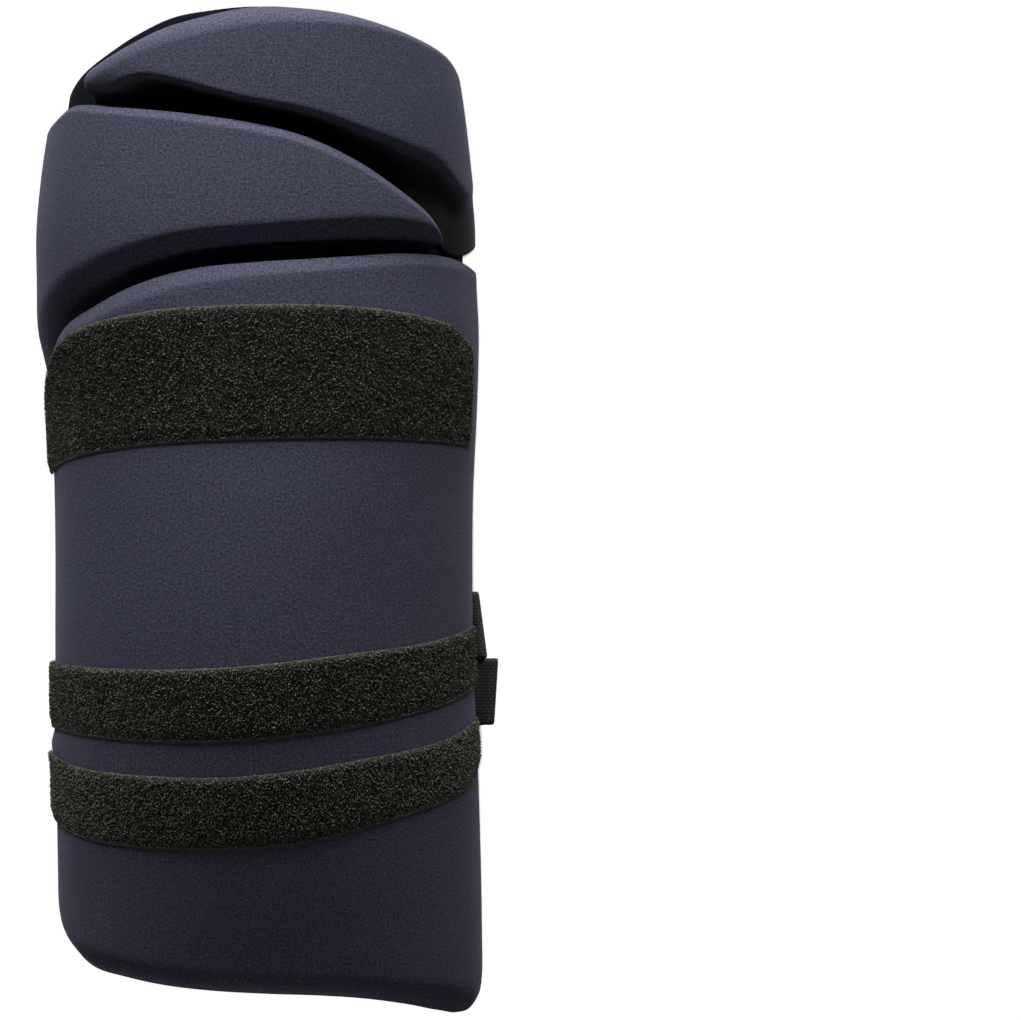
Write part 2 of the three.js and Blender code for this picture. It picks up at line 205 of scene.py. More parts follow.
# Soft detail of the foam: round corners and borders, slow ripples, swollen hip segments
CORNER_EASE = 0.13
EDGE_BULGE = 0.5
LINING_BULGE = 0.2
RIM_FADE = 15
RIPPLE_HEIGHT = 0.22
RIPPLE_COUNT = 9
RIPPLE_FREQUENCY = 0.045
SEGMENT_SWELL = 0.7

# The top segment's left shoulder, and how much foam is gone where its cover gets painted shade in black
SHOULDER = np.array([(0, 0.86), (0.12, 0.4), (0.3, 0.16), (0.6, 0.04), (1, 0)])
SHOULDER_RUN = 18
SHOULDER_ANGLES = (-25, -45)
# Painted shade: the top segment's cover turns black down in its groove; the other blocks get none
TOP_PAINTED_SHADE_FROM = (0.15, 0.4)
NEVER_PAINTED_SHADE = (1, 2)

# The main block's fall towards the hip on the right, and its left rim's bulge between the lower tapes
HIP_FALL = 0.06
HIP_FALL_FROM = 66
HIP_FALL_ANGLES = (5, 50)
RIM_BULGE = 2
RIM_BULGE_AT = -103.5
RIM_BULGE_WIDTH = 6
RIM_BULGE_ANGLES = (-58, -86)

# Loop pile: the woven ground's thickness, edges, painted light on its lower edge, and end swell
GROUND = 0.8
GROUND_BULGE = 0.15
GROUND_EDGE = 0.25
GROUND_EDGE_WIDTH = 2.4
GROUND_LOW_WIDTH = 6
GROUND_LOW_PAINTED_LIGHT = 0.9
TAPE_END_SWELL = 1.0
TAPE_END_ANGLES = (-66, -84)

# Loop pile: where the loops stand, the painted light on them near the edges, and their size
LOOP_INSET_LOW = 0.5
LOOP_INSET_HIGH = 0.1
LOOP_LOW_EDGE = 0.3
LOOP_LOW_WIDTH = 5
LOOP_PAINTED_LIGHT_UPPER = 0.22
LOOP_PAINTED_LIGHT_LOWER = 0.25
LOOP_PAINTED_LIGHT_WIDTH = 4
LOOP_SPACING = 0.9
LOOP_WIDTH = (0.8, 1.7)
LOOP_HEIGHT = (0.55, 1.05)
LOOP_YARN = (0.13, 0.23)
LOOP_LEAN = 0.6
LOOP_TWIST = 1.35
LOOP_POINTS = 5
LOOP_ROOT = 0.1
LOOP_TONES = (1.3, 2.8)
# Painted light on each tape's loops, more on the lower tapes, which tilt away from the key
LOOP_PAINTED_LIGHT = {"waist_loop_tape": 0.0, "upper_loop_tape": 0.11, "lower_loop_tape": 0.29}

# Knit and weave scales, and how much each pattern adds to a cloth's height or shade
WALE = 0.85
COURSE = 0.7
STITCH_SLANT = 1.1
STITCH_SWING = 0.4
KNIT_SHARE = 0.3
LINING_STITCH = 0.6
GROUND_RIB = 0.6
GROUND_PICK = 0.7
WEAVE_SHARE = 0.25
BARE_PAINTED_LIGHT_SHARE = 0.6
ELASTIC_ROW = 1.4
ELASTIC_BUMP = 1.7
SELVAGE_SHARE = 0.4
HOOK_PITCH = 1.5
HOOK_ROW = 1.2
NOISE_ROUGHNESS = 0.65
NAVY_ROUGHNESS = 0.75
NAVY_ROUGHNESS_SPREAD = 0.15

# Cloth and floor colours, dark and light
NAVY_COLOURS = ((0.007, 0.0072, 0.0118), (0.041, 0.0415, 0.0668))
# Painted shade: the knit's black for the top segment's groove
GROOVE_PAINTED_SHADE_COLOURS = ((0.004, 0.004, 0.0046), (0.01, 0.01, 0.011))
LINING_COLOURS = ((0.0012, 0.0012, 0.003), (0.0025, 0.0025, 0.006))
GROUND_COLOURS = ((0.006, 0.006, 0.005), (0.03, 0.03, 0.025))
YARN_COLOURS = ((0.006, 0.006, 0.005), (0.068, 0.0675, 0.055))
ELASTIC_COLOURS = ((0.008, 0.008, 0.007), (0.026, 0.0255, 0.022))
HOOK_COLOURS = ((0.008, 0.008, 0.008), (0.014, 0.014, 0.014))
FLOOR_COLOURS = ((0.9, 0.9, 0.9), (0.92, 0.92, 0.92))
NAVY_SHEEN = (0.62, 0.62, 0.85, 1)
YARN_SHEEN = (1, 1, 0.8, 1)

# Fineness of the surfaces: columns and rows, and steps along edges, bends and bands
EASE_STEPS = 9
MAIN_GRID = (150, 130)
SEGMENT_GRID = (120, 60)
EDGE_STEPS = 14
LINING_GRID = (120, 90)
GROUND_GRID = (240, 26)
GROUND_EDGE_SHARE = 0.08
GROUND_EDGE_ROWS = 6
TANGENT_STEP = 0.3
BAND_LINES = 31
STRAP_RUN_STEPS = 100
STRAP_FOLD_STEPS = 32
STRAP_SETTLE_STEPS = 6
STRAP_STRAIGHT_STEPS = 8
STRAP_CORNER_STEPS = 10
STRAP_TAB_STEPS = 24
HOOK_STEPS = 30

# Floor and lamps, in metres: a wide, low key past the pad's top, a weak fill before it, a wash on the floor
FLOOR_SIZE = 8
FLOOR_AT = (0, 0, -0.0002)
KEY_AT = (-0.2, 3.78, 1.14)
KEY_SIZE = (4.8, 1.5)
KEY_WATTS = 925
FILL_AT = (0.0, -2.9, 2.6)
FILL_SIZE = (2.4, 0.8)
FILL_WATTS = 44
WASH_AT = (0.1, 0.0, 4.0)
WASH_SIZE = (0.6, 0.6)
WASH_WATTS = 178
AMBIENT = 0.05

SEED = 11
RNG = np.random.default_rng(SEED)


def curve(table, column, at):
    """A column of a table as a smooth curve through its rows."""
    keys = table[:, 0]
    knots = table[:, column]
    slopes = np.empty_like(knots)
    slopes[1:-1] = (knots[2:] - knots[:-2]) / (keys[2:] - keys[:-2])
    slopes[0] = (knots[1] - knots[0]) / (keys[1] - keys[0])
    slopes[-1] = (knots[-1] - knots[-2]) / (keys[-1] - keys[-2])
    at = np.clip(at, keys[0], keys[-1])
    i = np.clip(np.searchsorted(keys, at, side="right") - 1, 0, len(keys) - 2)
    width = keys[i + 1] - keys[i]
    t = (at - keys[i]) / width
    start = knots[i] * (1 + 2 * t) * (1 - t) ** 2 + knots[i + 1] * t * t * (3 - 2 * t)
    return start + width * (slopes[i] * t * (1 - t) ** 2 - slopes[i + 1] * t * t * (1 - t))


def smoothstep(value, low, high):
    t = np.clip((value - low) / (high - low), 0, 1)
    return t * t * (3 - 2 * t)


def sunk_along(profile, share):
    """An edge profile's sunk share, averaged over a short way so that its corners are round."""
    ways = np.linspace(-1, 1, EASE_STEPS)
    eased = [np.interp(share + CORNER_EASE * way, profile[:, 0], profile[:, 1]) for way in ways]
    return sum(eased) / len(ways)


def rim_lift(angle, y):
    """How far the right rim is lifted to let the folded straps out."""
    risen = smoothstep(y, STRAP_LIFT_LOW - STRAP_LIFT_RAMP, STRAP_LIFT_LOW)
    fallen = smoothstep(y, STRAP_LIFT_HIGH, STRAP_LIFT_HIGH + STRAP_LIFT_RAMP)
    towards_rim = np.maximum(0, np.sin(np.radians(angle))) ** STRAP_LIFT_POWER
    return STRAP_LIFT * risen * (1 - fallen) * towards_rim


def place(angle, y, depth):
    """Points of the arch, by angle round the thigh, height up the pad and depth below the front."""
    half = curve(SECTIONS, HALF, y)
    lift = rim_lift(angle, y)
    rise = curve(SECTIONS, CROWN, y) - lift
    sine = np.sin(np.radians(angle))
    cosine = np.maximum(0, np.cos(np.radians(angle)))
    outward = np.stack([sine / half, cosine / rise])
    outward = outward / np.linalg.norm(outward, axis=0)
    x = curve(SECTIONS, MIDDLE, y) + half * sine - depth * outward[0]
    z = lift + rise * cosine - depth * outward[1]
    return np.stack([x, y + np.zeros_like(x), z], axis=-1)


def foam_depth(angle):
    return FOAM_RIM + (FOAM_CROWN - FOAM_RIM) * np.cos(np.radians(angle))


def edge_fade(angle):
    return np.minimum(1, EDGE_FADE_RIM + EDGE_FADE_GROWTH * np.cos(np.radians(angle)))


def arc_angle(length):
    return math.degrees(length / ARC_RADIUS)


def lining_shown(angle):
    share = smoothstep(angle, LINING_SHOWN_FROM, LINING_SHOWN_TO)
    return LINING_SHOWN_LEFT + (LINING_SHOWN_RIGHT - LINING_SHOWN_LEFT) * share


# Slow ripples that a moulded foam face has
RIPPLE_WAVES = RNG.normal(0, RIPPLE_FREQUENCY, (RIPPLE_COUNT, 2))
RIPPLE_PHASES = RNG.uniform(0, 2 * math.pi, RIPPLE_COUNT)


def ripple(angle, y):
    along = ARC_RADIUS * np.radians(angle)
    waves = [
        np.sin(wave[0] * along + wave[1] * y + phase)
        for wave, phase in zip(RIPPLE_WAVES, RIPPLE_PHASES)
    ]
    return RIPPLE_HEIGHT * sum(waves) / math.sqrt(RIPPLE_COUNT)


class Foam:
    """A foam block between two lines of the pad and two angles."""

    def __init__(self, start, end, low, high, foot, wall, edge, bevel, left, right):
        self.start = start
        self.end = end
        self.low = low
        self.high = high
        self.foot = foot
        self.wall = wall
        self.edge = edge
        self.bevel = bevel
        self.left = left
        self.right = right

    def edge_runs(self, angle):
        needed = self.wall(angle) * self.foot[-1, 0] + self.bevel(angle) * self.edge[-1, 0]
        squeeze = np.minimum(1, EDGES_AT_MOST * (self.high(angle) - self.low(angle)) / needed)
        return self.wall(angle) * squeeze, self.bevel(angle) * squeeze

    def foot_sunk(self, angle, y):
        """How much of the foam is gone along the block's lower edge."""
        wall_run, _ = self.edge_runs(angle)
        return edge_fade(angle) * sunk_along(self.foot, (y - self.low(angle)) / wall_run)

    def depth(self, angle, y):
        _, bevel_run = self.edge_runs(angle)
        from_left = (angle - self.start) / arc_angle(self.left[1])
        from_right = (self.end - angle) / arc_angle(self.right[1])
        kept = 1 - self.foot_sunk(angle, y)
        edge_sunk = sunk_along(self.edge, (self.high(angle) - y) / bevel_run)
        kept = kept * (1 - edge_fade(angle) * edge_sunk)
        kept = kept * (1 - sunk_along(self.left[0], from_left))
        kept = kept * (1 - sunk_along(self.right[0], from_right))
        return foam_depth(angle) * (1 - kept)

    def grid(self, columns, rows, edge_steps):
        """Angles and heights of a fine grid, closer together along the edges."""
        left = np.linspace(self.start, self.start + arc_angle(self.left[1]), edge_steps)
        right = np.linspace(self.end - arc_angle(self.right[1]), self.end, edge_steps)
        angles = np.concatenate([left, np.linspace(left[-1], right[0], columns)[1:-1], right])
        wall_run, bevel_run = self.edge_runs(angles)
        foot_shares = np.linspace(0, self.foot[-1, 0], 2 * edge_steps)
        bevel_shares = np.linspace(self.edge[-1, 0], 0, 2 * edge_steps)
        low_rows = self.low(angles)[:, None] + wall_run[:, None] * foot_shares
        high_rows = self.high(angles)[:, None] - bevel_run[:, None] * bevel_shares
        shares = np.linspace(0, 1, rows)[1:-1]
        middle_rows = low_rows[:, -1:] + (high_rows[:, :1] - low_rows[:, -1:]) * shares
        heights = np.concatenate([low_rows, middle_rows, high_rows], axis=1)
        return np.repeat(angles[:, None], heights.shape[1], axis=1), heights


class ShoulderedFoam(Foam):
    """A foam block whose lower edge turns into a soft shoulder towards its left end."""

    def foot_sunk(self, angle, y):
        shoulder = edge_fade(angle) * sunk_along(SHOULDER, (y - self.low(angle)) / SHOULDER_RUN)
        share = smoothstep(angle, *SHOULDER_ANGLES)
        return super().foot_sunk(angle, y) * (1 - share) + shoulder * share


RIM_END = (RIM, RIM_RUN)
main_block = Foam(
    start=-90,
    end=90,
    low=lambda angle: curve(LINES, BOTTOM, angle),
    high=lambda angle: curve(LINES, LOWER, angle),
    foot=ROUNDING,
    wall=lambda angle: curve(RUNS, ROUNDING_RUN, angle),
    edge=BEVEL,
    bevel=lambda angle: curve(RUNS, MAIN_BEVEL, angle),
    left=RIM_END,
    right=RIM_END,
)
mid_block = Foam(
    start=-90,
    end=MID_TIP,
    low=lambda angle: curve(LINES, LOWER, angle) + GROOVE,
    high=lambda angle: curve(LINES, UPPER, angle),
    foot=WALL,
    wall=lambda angle: curve(RUNS, MID_WALL, angle),
    edge=BEVEL,
    bevel=lambda angle: curve(RUNS, MID_BEVEL, angle),
    left=RIM_END,
    right=(BLUNT_TIP, MID_TIP_RUN),
)
top_block = ShoulderedFoam(
    start=TOP_TIP,
    end=90,
    low=lambda angle: curve(LINES, UPPER, angle) + GROOVE,
    high=lambda angle: curve(LINES, TOP, angle) - lining_shown(angle),
    foot=DROP,
    wall=lambda angle: curve(RUNS, TOP_WALL, angle),
    edge=TOP_EDGE,
    bevel=lambda angle: curve(RUNS, TOP_BEVEL, angle),
    left=(TIP, TOP_TIP_RUN),
    right=RIM_END,
)


def hip_fall(angle, y):
    """How far the main block's right shoulder falls away towards the groove."""
    return HIP_FALL * np.maximum(0, y - HIP_FALL_FROM) * smoothstep(angle, *HIP_FALL_ANGLES)


def rim_bulge(angle, y):
    """How far the left rim swells out between the two lower tapes."""
    away = (y - RIM_BULGE_AT) / RIM_BULGE_WIDTH
    return RIM_BULGE * np.exp(-away * away) * smoothstep(angle, *RIM_BULGE_ANGLES)


def away_from_rims(angle):
    """Fades soft detail out where a block meets the floor."""
    return smoothstep(90 - np.abs(angle), 0, RIM_FADE)


def main_face(angle, y):
    soft = ripple(angle, y) + hip_fall(angle, y)
    return main_block.depth(angle, y) + soft * away_from_rims(angle) - rim_bulge(angle, y)


def segment_face(block):
    """Depth of a hip segment's face, which swells a little between its two edges."""
    def face(angle, y):
        across = 2 * (y - block.low(angle)) / (block.high(angle) - block.low(angle)) - 1
        soft = ripple(angle, y) + SEGMENT_SWELL * across * across
        return block.depth(angle, y) + soft * away_from_rims(angle)
    return face


def grid_faces(index):
    """Quads of a grid of vertex numbers."""
    corners = [index[:-1, :-1], index[1:, :-1], index[1:, 1:], index[:-1, 1:]]
    return np.stack(corners, axis=-1).reshape(-1, 4)


def closed_shell(front, back, uv, tone=None):
    """A closed sheet between two grids that share their border."""
    tone = np.zeros(front.shape[:2]) if tone is None else tone
    count = front.shape[0] * front.shape[1]
    inner = (front.shape[0] - 2, front.shape[1] - 2)
    front_index = np.arange(count).reshape(front.shape[:2])
    back_index = front_index.copy()
    back_index[1:-1, 1:-1] = count + np.arange(inner[0] * inner[1]).reshape(inner)
    points = np.concatenate([front.reshape(-1, 3), back[1:-1, 1:-1].reshape(-1, 3)])
    faces = np.concatenate([grid_faces(front_index), grid_faces(back_index)[:, ::-1]])
    uvs = np.concatenate([uv.reshape(-1, 2), uv[1:-1, 1:-1].reshape(-1, 2)])
    tones = np.concatenate([tone.ravel(), tone[1:-1, 1:-1].ravel()])
    return {"points": points, "faces": faces, "uv": uvs, "tone": tones, "material": 0}


def slab(angle, y, front_depth, back_depth, bulge, tone=None):
    """A sheet on the arch between two depths, with a rounded border."""
    tone = None if tone is None else np.pad(tone, 1, mode="edge")
    angle = np.pad(angle, 1, mode="edge")
    y = np.pad(y, 1, mode="edge")
    front_depth = np.pad(front_depth, 1, mode="edge")
    back_depth = np.pad(back_depth, 1, mode="edge")
    y[:, 0] -= bulge
    y[:, -1] += bulge
    ring = np.ones(y.shape, dtype=bool)
    ring[1:-1, 1:-1] = False
    front_depth[ring] = (front_depth[ring] + back_depth[ring]) / 2
    uv = np.stack([ARC_RADIUS * np.radians(angle), y], axis=-1)
    return closed_shell(place(angle, y, front_depth), place(angle, y, back_depth), uv, tone)


def add_piece(name, node, parts, materials):
    """One Blender object from several mesh parts, which stands for a CAD node."""
    starts = np.cumsum([0] + [len(part["points"]) for part in parts])
    points = np.concatenate([part["points"] for part in parts])
    faces = np.concatenate([part["faces"] + start for part, start in zip(parts, starts)])
    uv = np.concatenate([part["uv"] for part in parts])
    tone = np.concatenate([part["tone"] for part in parts])
    materials_used = [np.full(len(part["faces"]), part["material"]) for part in parts]
    mesh = bpy.data.meshes.new(name)
    mesh.vertices.add(len(points))
    mesh.vertices.foreach_set("co", ((points + ORIGIN) * MILLIMETRE).ravel())
    mesh.loops.add(faces.size)
    mesh.loops.foreach_set("vertex_index", faces.ravel())
    mesh.polygons.add(len(faces))
    mesh.polygons.foreach_set("loop_start", np.arange(0, faces.size, 4))
    mesh.polygons.foreach_set("material_index", np.concatenate(materials_used))
    layer = mesh.uv_layers.new(name="cloth")
    layer.data.foreach_set("uv", uv[faces.ravel()].ravel())
    attribute = mesh.attributes.new("tone", "FLOAT", "POINT")
    attribute.data.foreach_set("value", tone)
    mesh.update(calc_edges=True)
    mesh.shade_smooth()
    for material in materials:
        mesh.materials.append(material)
    piece = bpy.data.objects.new(name, mesh)
    bpy.context.collection.objects.link(piece)
    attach(piece, "root")
    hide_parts(node)
    return piece


class Paint:
    """A procedural material: adds nodes and links them."""

    def __init__(self, name):
        self.material = bpy.data.materials.new(name)
        self.material.use_nodes = True
        self.tree = self.material.node_tree
        self.shader = self.tree.nodes["Principled BSDF"]

    def link(self, value, socket):
        if isinstance(value, bpy.types.NodeSocket):
            self.tree.links.new(value, socket)
        else:
            socket.default_value = value

    def node(self, kind):
        return self.tree.nodes.new(kind)

    def math(self, operation, *values):
        node = self.node("ShaderNodeMath")
        node.operation = operation
        for value, socket in zip(values, node.inputs):
            self.link(value, socket)
        return node.outputs[0]

    def cloth(self):
        """The place on the cloth, in millimetres along and across."""
        node = self.node("ShaderNodeUVMap")
        node.uv_map = "cloth"
        split = self.node("ShaderNodeSeparateXYZ")
        self.link(node.outputs["UV"], split.inputs[0])
        return node.outputs["UV"], split.outputs[0], split.outputs[1]

    def tone(self):
        """The tone stored with each point of a piece: its own shade, plus painted light and painted shade
        where given.
        """
        node = self.node("ShaderNodeAttribute")
        node.attribute_name = "tone"
        return node.outputs["Fac"]

    def noise(self, vector, scale, detail):
        node = self.node("ShaderNodeTexNoise")
        self.link(vector, node.inputs["Vector"])
        node.inputs["Scale"].default_value = scale
        node.inputs["Detail"].default_value = detail
        node.inputs["Roughness"].default_value = NOISE_ROUGHNESS
        return node.outputs["Fac"]

    def ramp(self, value, low, high, colours):
        """A dark colour below one value, a light one above another, and shades between."""
        dark, light = colours
        node = self.node("ShaderNodeValToRGB")
        self.link(value, node.inputs["Fac"])
        node.color_ramp.elements[0].position = low
        node.color_ramp.elements[0].color = (*dark, 1)
        node.color_ramp.elements[1].position = high
        node.color_ramp.elements[1].color = (*light, 1)
        return node.outputs["Color"]

    def mix(self, share, first, second):
        node = self.node("ShaderNodeMixRGB")
        self.link(share, node.inputs["Fac"])
        self.link(first, node.inputs["Color1"])
        self.link(second, node.inputs["Color2"])
        return node.outputs["Color"]

    def bump(self, height, distance, strength):
        node = self.node("ShaderNodeBump")
        self.link(height, node.inputs["Height"])
        node.inputs["Distance"].default_value = distance * MILLIMETRE
        node.inputs["Strength"].default_value = strength
        self.link(node.outputs["Normal"], self.shader.inputs["Normal"])

    def set(self, **values):
        for name, value in values.items():
            self.link(value, self.shader.inputs[name.replace("_", " ")])


def knit_height(paint, along, across, wale, course):
    """Height of a plain jersey knit, whose stitches are small V shapes in columns."""
    leg = paint.math("PINGPONG", paint.math("DIVIDE", along, wale), 0.5)
    slant = paint.math("MULTIPLY", leg, STITCH_SLANT)
    phase = paint.math("ADD", paint.math("DIVIDE", across, course), slant)
    stitch = paint.math("SINE", paint.math("MULTIPLY", phase, 2 * math.pi))
    column = paint.math("SINE", paint.math("MULTIPLY", leg, 2 * math.pi))
    relief = paint.math("MULTIPLY_ADD", stitch, STITCH_SWING, 1 - STITCH_SWING)
    return paint.math("MULTIPLY", column, relief)


def navy_knit():
    paint = Paint("navy_knit")
    place_on, along, across = paint.cloth()
    knit = knit_height(paint, along, across, WALE, COURSE)
    speckle = paint.noise(place_on, scale=0.95, detail=4)
    wear = paint.noise(place_on, scale=0.05, detail=1)
    paint.bump(paint.math("MULTIPLY_ADD", knit, KNIT_SHARE, speckle), distance=0.25, strength=0.5)
    # Navy knit, mixed into black painted shade where the stored tone marks the top segment's groove
    paint.set(
        Base_Color=paint.mix(
            paint.tone(),
            paint.ramp(speckle, low=0.3, high=0.7, colours=NAVY_COLOURS),
            paint.ramp(speckle, low=0.3, high=0.7, colours=GROOVE_PAINTED_SHADE_COLOURS),
        ),
        Roughness=paint.math("MULTIPLY_ADD", wear, NAVY_ROUGHNESS_SPREAD, NAVY_ROUGHNESS),
        Specular_IOR_Level=0.08,
        Sheen_Weight=0.045,
        Sheen_Roughness=0.35,
        Sheen_Tint=NAVY_SHEEN,
    )
    return paint.material


def lining_cloth():
    paint = Paint("lining_cloth")
    place_on, along, across = paint.cloth()
    height = knit_height(paint, along, across, LINING_STITCH, LINING_STITCH)
    speckle = paint.noise(place_on, scale=1.6, detail=2)
    paint.bump(height, distance=0.15, strength=0.4)
    paint.set(
        Base_Color=paint.ramp(speckle, low=0.3, high=0.7, colours=LINING_COLOURS),
        Roughness=0.9,
        Specular_IOR_Level=0.03,
    )
    return paint.material


def tape_ground():
    paint = Paint("tape_ground")
    place_on, along, across = paint.cloth()
    rib = paint.math("SINE", paint.math("MULTIPLY", across, 2 * math.pi / GROUND_RIB))
    pick = paint.math("SINE", paint.math("MULTIPLY", along, 2 * math.pi / GROUND_PICK))
    grain = paint.noise(place_on, scale=1.1, detail=3)
    weave = paint.math("MULTIPLY", rib, pick)
    paint.bump(paint.math("MULTIPLY_ADD", weave, WEAVE_SHARE, grain), distance=0.4, strength=0.6)
    # Lighter where the stored tone marks painted light on the bare edges, with the cloth's own grain
    plain = paint.math("MULTIPLY", grain, 1 - BARE_PAINTED_LIGHT_SHARE)
    shade = paint.math("MULTIPLY_ADD", paint.tone(), BARE_PAINTED_LIGHT_SHARE, plain)
    paint.set(
        Base_Color=paint.ramp(shade, low=0.15, high=0.75, colours=GROUND_COLOURS),
        Roughness=0.85,
        Specular_IOR_Level=0.08,
    )
    return paint.material


def loop_yarn():
    paint = Paint("loop_yarn")
    place_on, _, _ = paint.cloth()
    fibre = paint.noise(place_on, scale=6, detail=2)
    paint.bump(fibre, distance=0.1, strength=0.4)
    # Loops' own tone, with painted light near the tapes' edges and on the lower tapes
    paint.set(
        Base_Color=paint.ramp(paint.tone(), low=0.1, high=0.9, colours=YARN_COLOURS),
        Roughness=0.7,
        Specular_IOR_Level=0.12,
        Sheen_Weight=0.06,
        Sheen_Roughness=0.4,
        Sheen_Tint=YARN_SHEEN,
    )
    return paint.material


def woven_elastic():
    paint = Paint("woven_elastic")
    place_on, along, across = paint.cloth()
    row = paint.math("DIVIDE", across, ELASTIC_ROW)
    shift = paint.math("MULTIPLY", paint.math("FLOOR", row), math.pi)
    wave = paint.math("ADD", paint.math("MULTIPLY", along, 2 * math.pi / ELASTIC_BUMP), shift)
    knot = paint.math("ABSOLUTE", paint.math("SINE", paint.math("MULTIPLY", wave, 0.5)))
    ridge = paint.math("ABSOLUTE", paint.math("SINE", paint.math("MULTIPLY", row, math.pi)))
    height = paint.math("MULTIPLY", knot, ridge)
    grain = paint.noise(place_on, scale=1.5, detail=2)
    paint.bump(height, distance=0.25, strength=0.5)
    woven = paint.math("MULTIPLY", height, grain)
    shade = paint.math("MULTIPLY_ADD", paint.tone(), SELVAGE_SHARE, woven)
    paint.set(
        Base_Color=paint.ramp(shade, low=0.05, high=0.6, colours=ELASTIC_COLOURS),
        Roughness=0.8,
        Specular_IOR_Level=0.1,
    )
    return paint.material


def hook_tape():
    paint = Paint("hook_tape")
    place_on, along, across = paint.cloth()
    hook = paint.math("SINE", paint.math("MULTIPLY", along, 2 * math.pi / HOOK_PITCH))
    row = paint.math("SINE", paint.math("MULTIPLY", across, 2 * math.pi / HOOK_ROW))
    grain = paint.noise(place_on, scale=0.8, detail=2)
    paint.bump(paint.math("MULTIPLY", hook, row), distance=0.5, strength=0.8)
    paint.set(
        Base_Color=paint.ramp(grain, low=0.3, high=0.7, colours=HOOK_COLOURS),
        Roughness=0.45,
    )
    return paint.material


# Foam blocks in their knit cover
NAVY = navy_knit()


def add_foam(node, block, face, grid, painted_shade_from):
    """A foam block, black as painted shade where a given share of its foam is gone along its lower edge."""
    angle, y = block.grid(*grid, EDGE_STEPS)
    # Painted shade: black where the foam is sunk along the lower edge, down in the groove
    painted_shade = smoothstep(block.foot_sunk(angle, y), *painted_shade_from)
    part = slab(angle, y, face(angle, y), foam_depth(angle), EDGE_BULGE, painted_shade)
    return add_piece(node + "_cover", node, [part], [NAVY])


add_foam("main_pad", main_block, main_face, MAIN_GRID, NEVER_PAINTED_SHADE)
add_foam("mid_segment", mid_block, segment_face(mid_block), SEGMENT_GRID, NEVER_PAINTED_SHADE)
add_foam("top_segment", top_block, segment_face(top_block), SEGMENT_GRID, TOP_PAINTED_SHADE_FROM)


# Lining behind them
def lining_front(angle):
    return foam_depth(angle) + LINING_GAP


def lining_back(angle):
    return lining_front(angle) + LINING


lining_angles = np.linspace(-90, 90, LINING_GRID[0])
lining_low = curve(LINES, BOTTOM, lining_angles) + LINING_TUCK
lining_high = curve(LINES, TOP, lining_angles)
lining_shares = np.linspace(0, 1, LINING_GRID[1])
lining_y = lining_low[:, None] + (lining_high - lining_low)[:, None] * lining_shares
lining_angle = np.repeat(lining_angles[:, None], LINING_GRID[1], axis=1)
lining_depths = (lining_front(lining_angle), lining_back(lining_angle))
lining_part = slab(lining_angle, lining_y, *lining_depths, LINING_BULGE)
lining = add_piece("lining_cloth", "lining", [lining_part], [lining_cloth()])


# Loop tapes: a woven ground and its loops
def away_from_edges(rows, angle, y):
    above_low = (y - curve(rows, LOW, angle)) / GROUND_LOW_WIDTH
    below_high = (curve(rows, HIGH, angle) - y) / GROUND_EDGE_WIDTH
    return smoothstep(np.minimum(above_low, below_high), 0, 1)


def tape_top(rows, angle, y):
    """Depth of the ground's upper face, which thins out along its edges."""
    thick = GROUND_EDGE + (GROUND - GROUND_EDGE) * away_from_edges(rows, angle, y)
    swell = TAPE_END_SWELL * smoothstep(angle, *TAPE_END_ANGLES)
    return main_face(angle, y) - GAP - thick - swell


def unit(vectors):
    return vectors / np.linalg.norm(vectors, axis=-1, keepdims=True)


def tape_frame(rows, angle, y):
    """Points on a tape's ground with the directions along it, up it and out of it."""
    next_angle = angle + arc_angle(TANGENT_STEP)
    next_y = y + TANGENT_STEP
    point = place(angle, y, tape_top(rows, angle, y))
    ahead = place(next_angle, y, tape_top(rows, next_angle, y))
    above = place(angle, next_y, tape_top(rows, angle, next_y))
    along = unit(ahead - point)
    out = unit(np.cross(along, above - point))
    return point, along, np.cross(out, along), out


def tape_ground_part(rows):
    """The ground of a tape, whose bare cloth along its edges is painted lighter as painted light."""
    angles = np.linspace(rows[0, 0], rows[-1, 0], GROUND_GRID[0])
    edge = np.linspace(0, GROUND_EDGE_SHARE, GROUND_EDGE_ROWS)
    middle = np.linspace(GROUND_EDGE_SHARE, 1 - GROUND_EDGE_SHARE, GROUND_GRID[1])[1:-1]
    shares = np.concatenate([edge, middle, 1 - edge[::-1]])
    low = curve(rows, LOW, angles)
    high = curve(rows, HIGH, angles)
    y = low[:, None] + (high - low)[:, None] * shares
    angle = np.repeat(angles[:, None], y.shape[1], axis=1)
    # Painted light: the bare upper edge is lighter where it faces the lamp, the lower edge where shade
    # would fall
    bare_painted_light_high = 1 - smoothstep(high[:, None] - y, 0, GROUND_EDGE_WIDTH)
    bare_painted_light_low = 1 - smoothstep(y - low[:, None], LOOP_INSET_LOW, 2 * LOOP_INSET_LOW)
    bare_painted_light = np.maximum(bare_painted_light_high, GROUND_LOW_PAINTED_LIGHT * bare_painted_light_low)
    under = main_face(angle, y) - GAP
    return slab(angle, y, tape_top(rows, angle, y), under, GROUND_BULGE, bare_painted_light)


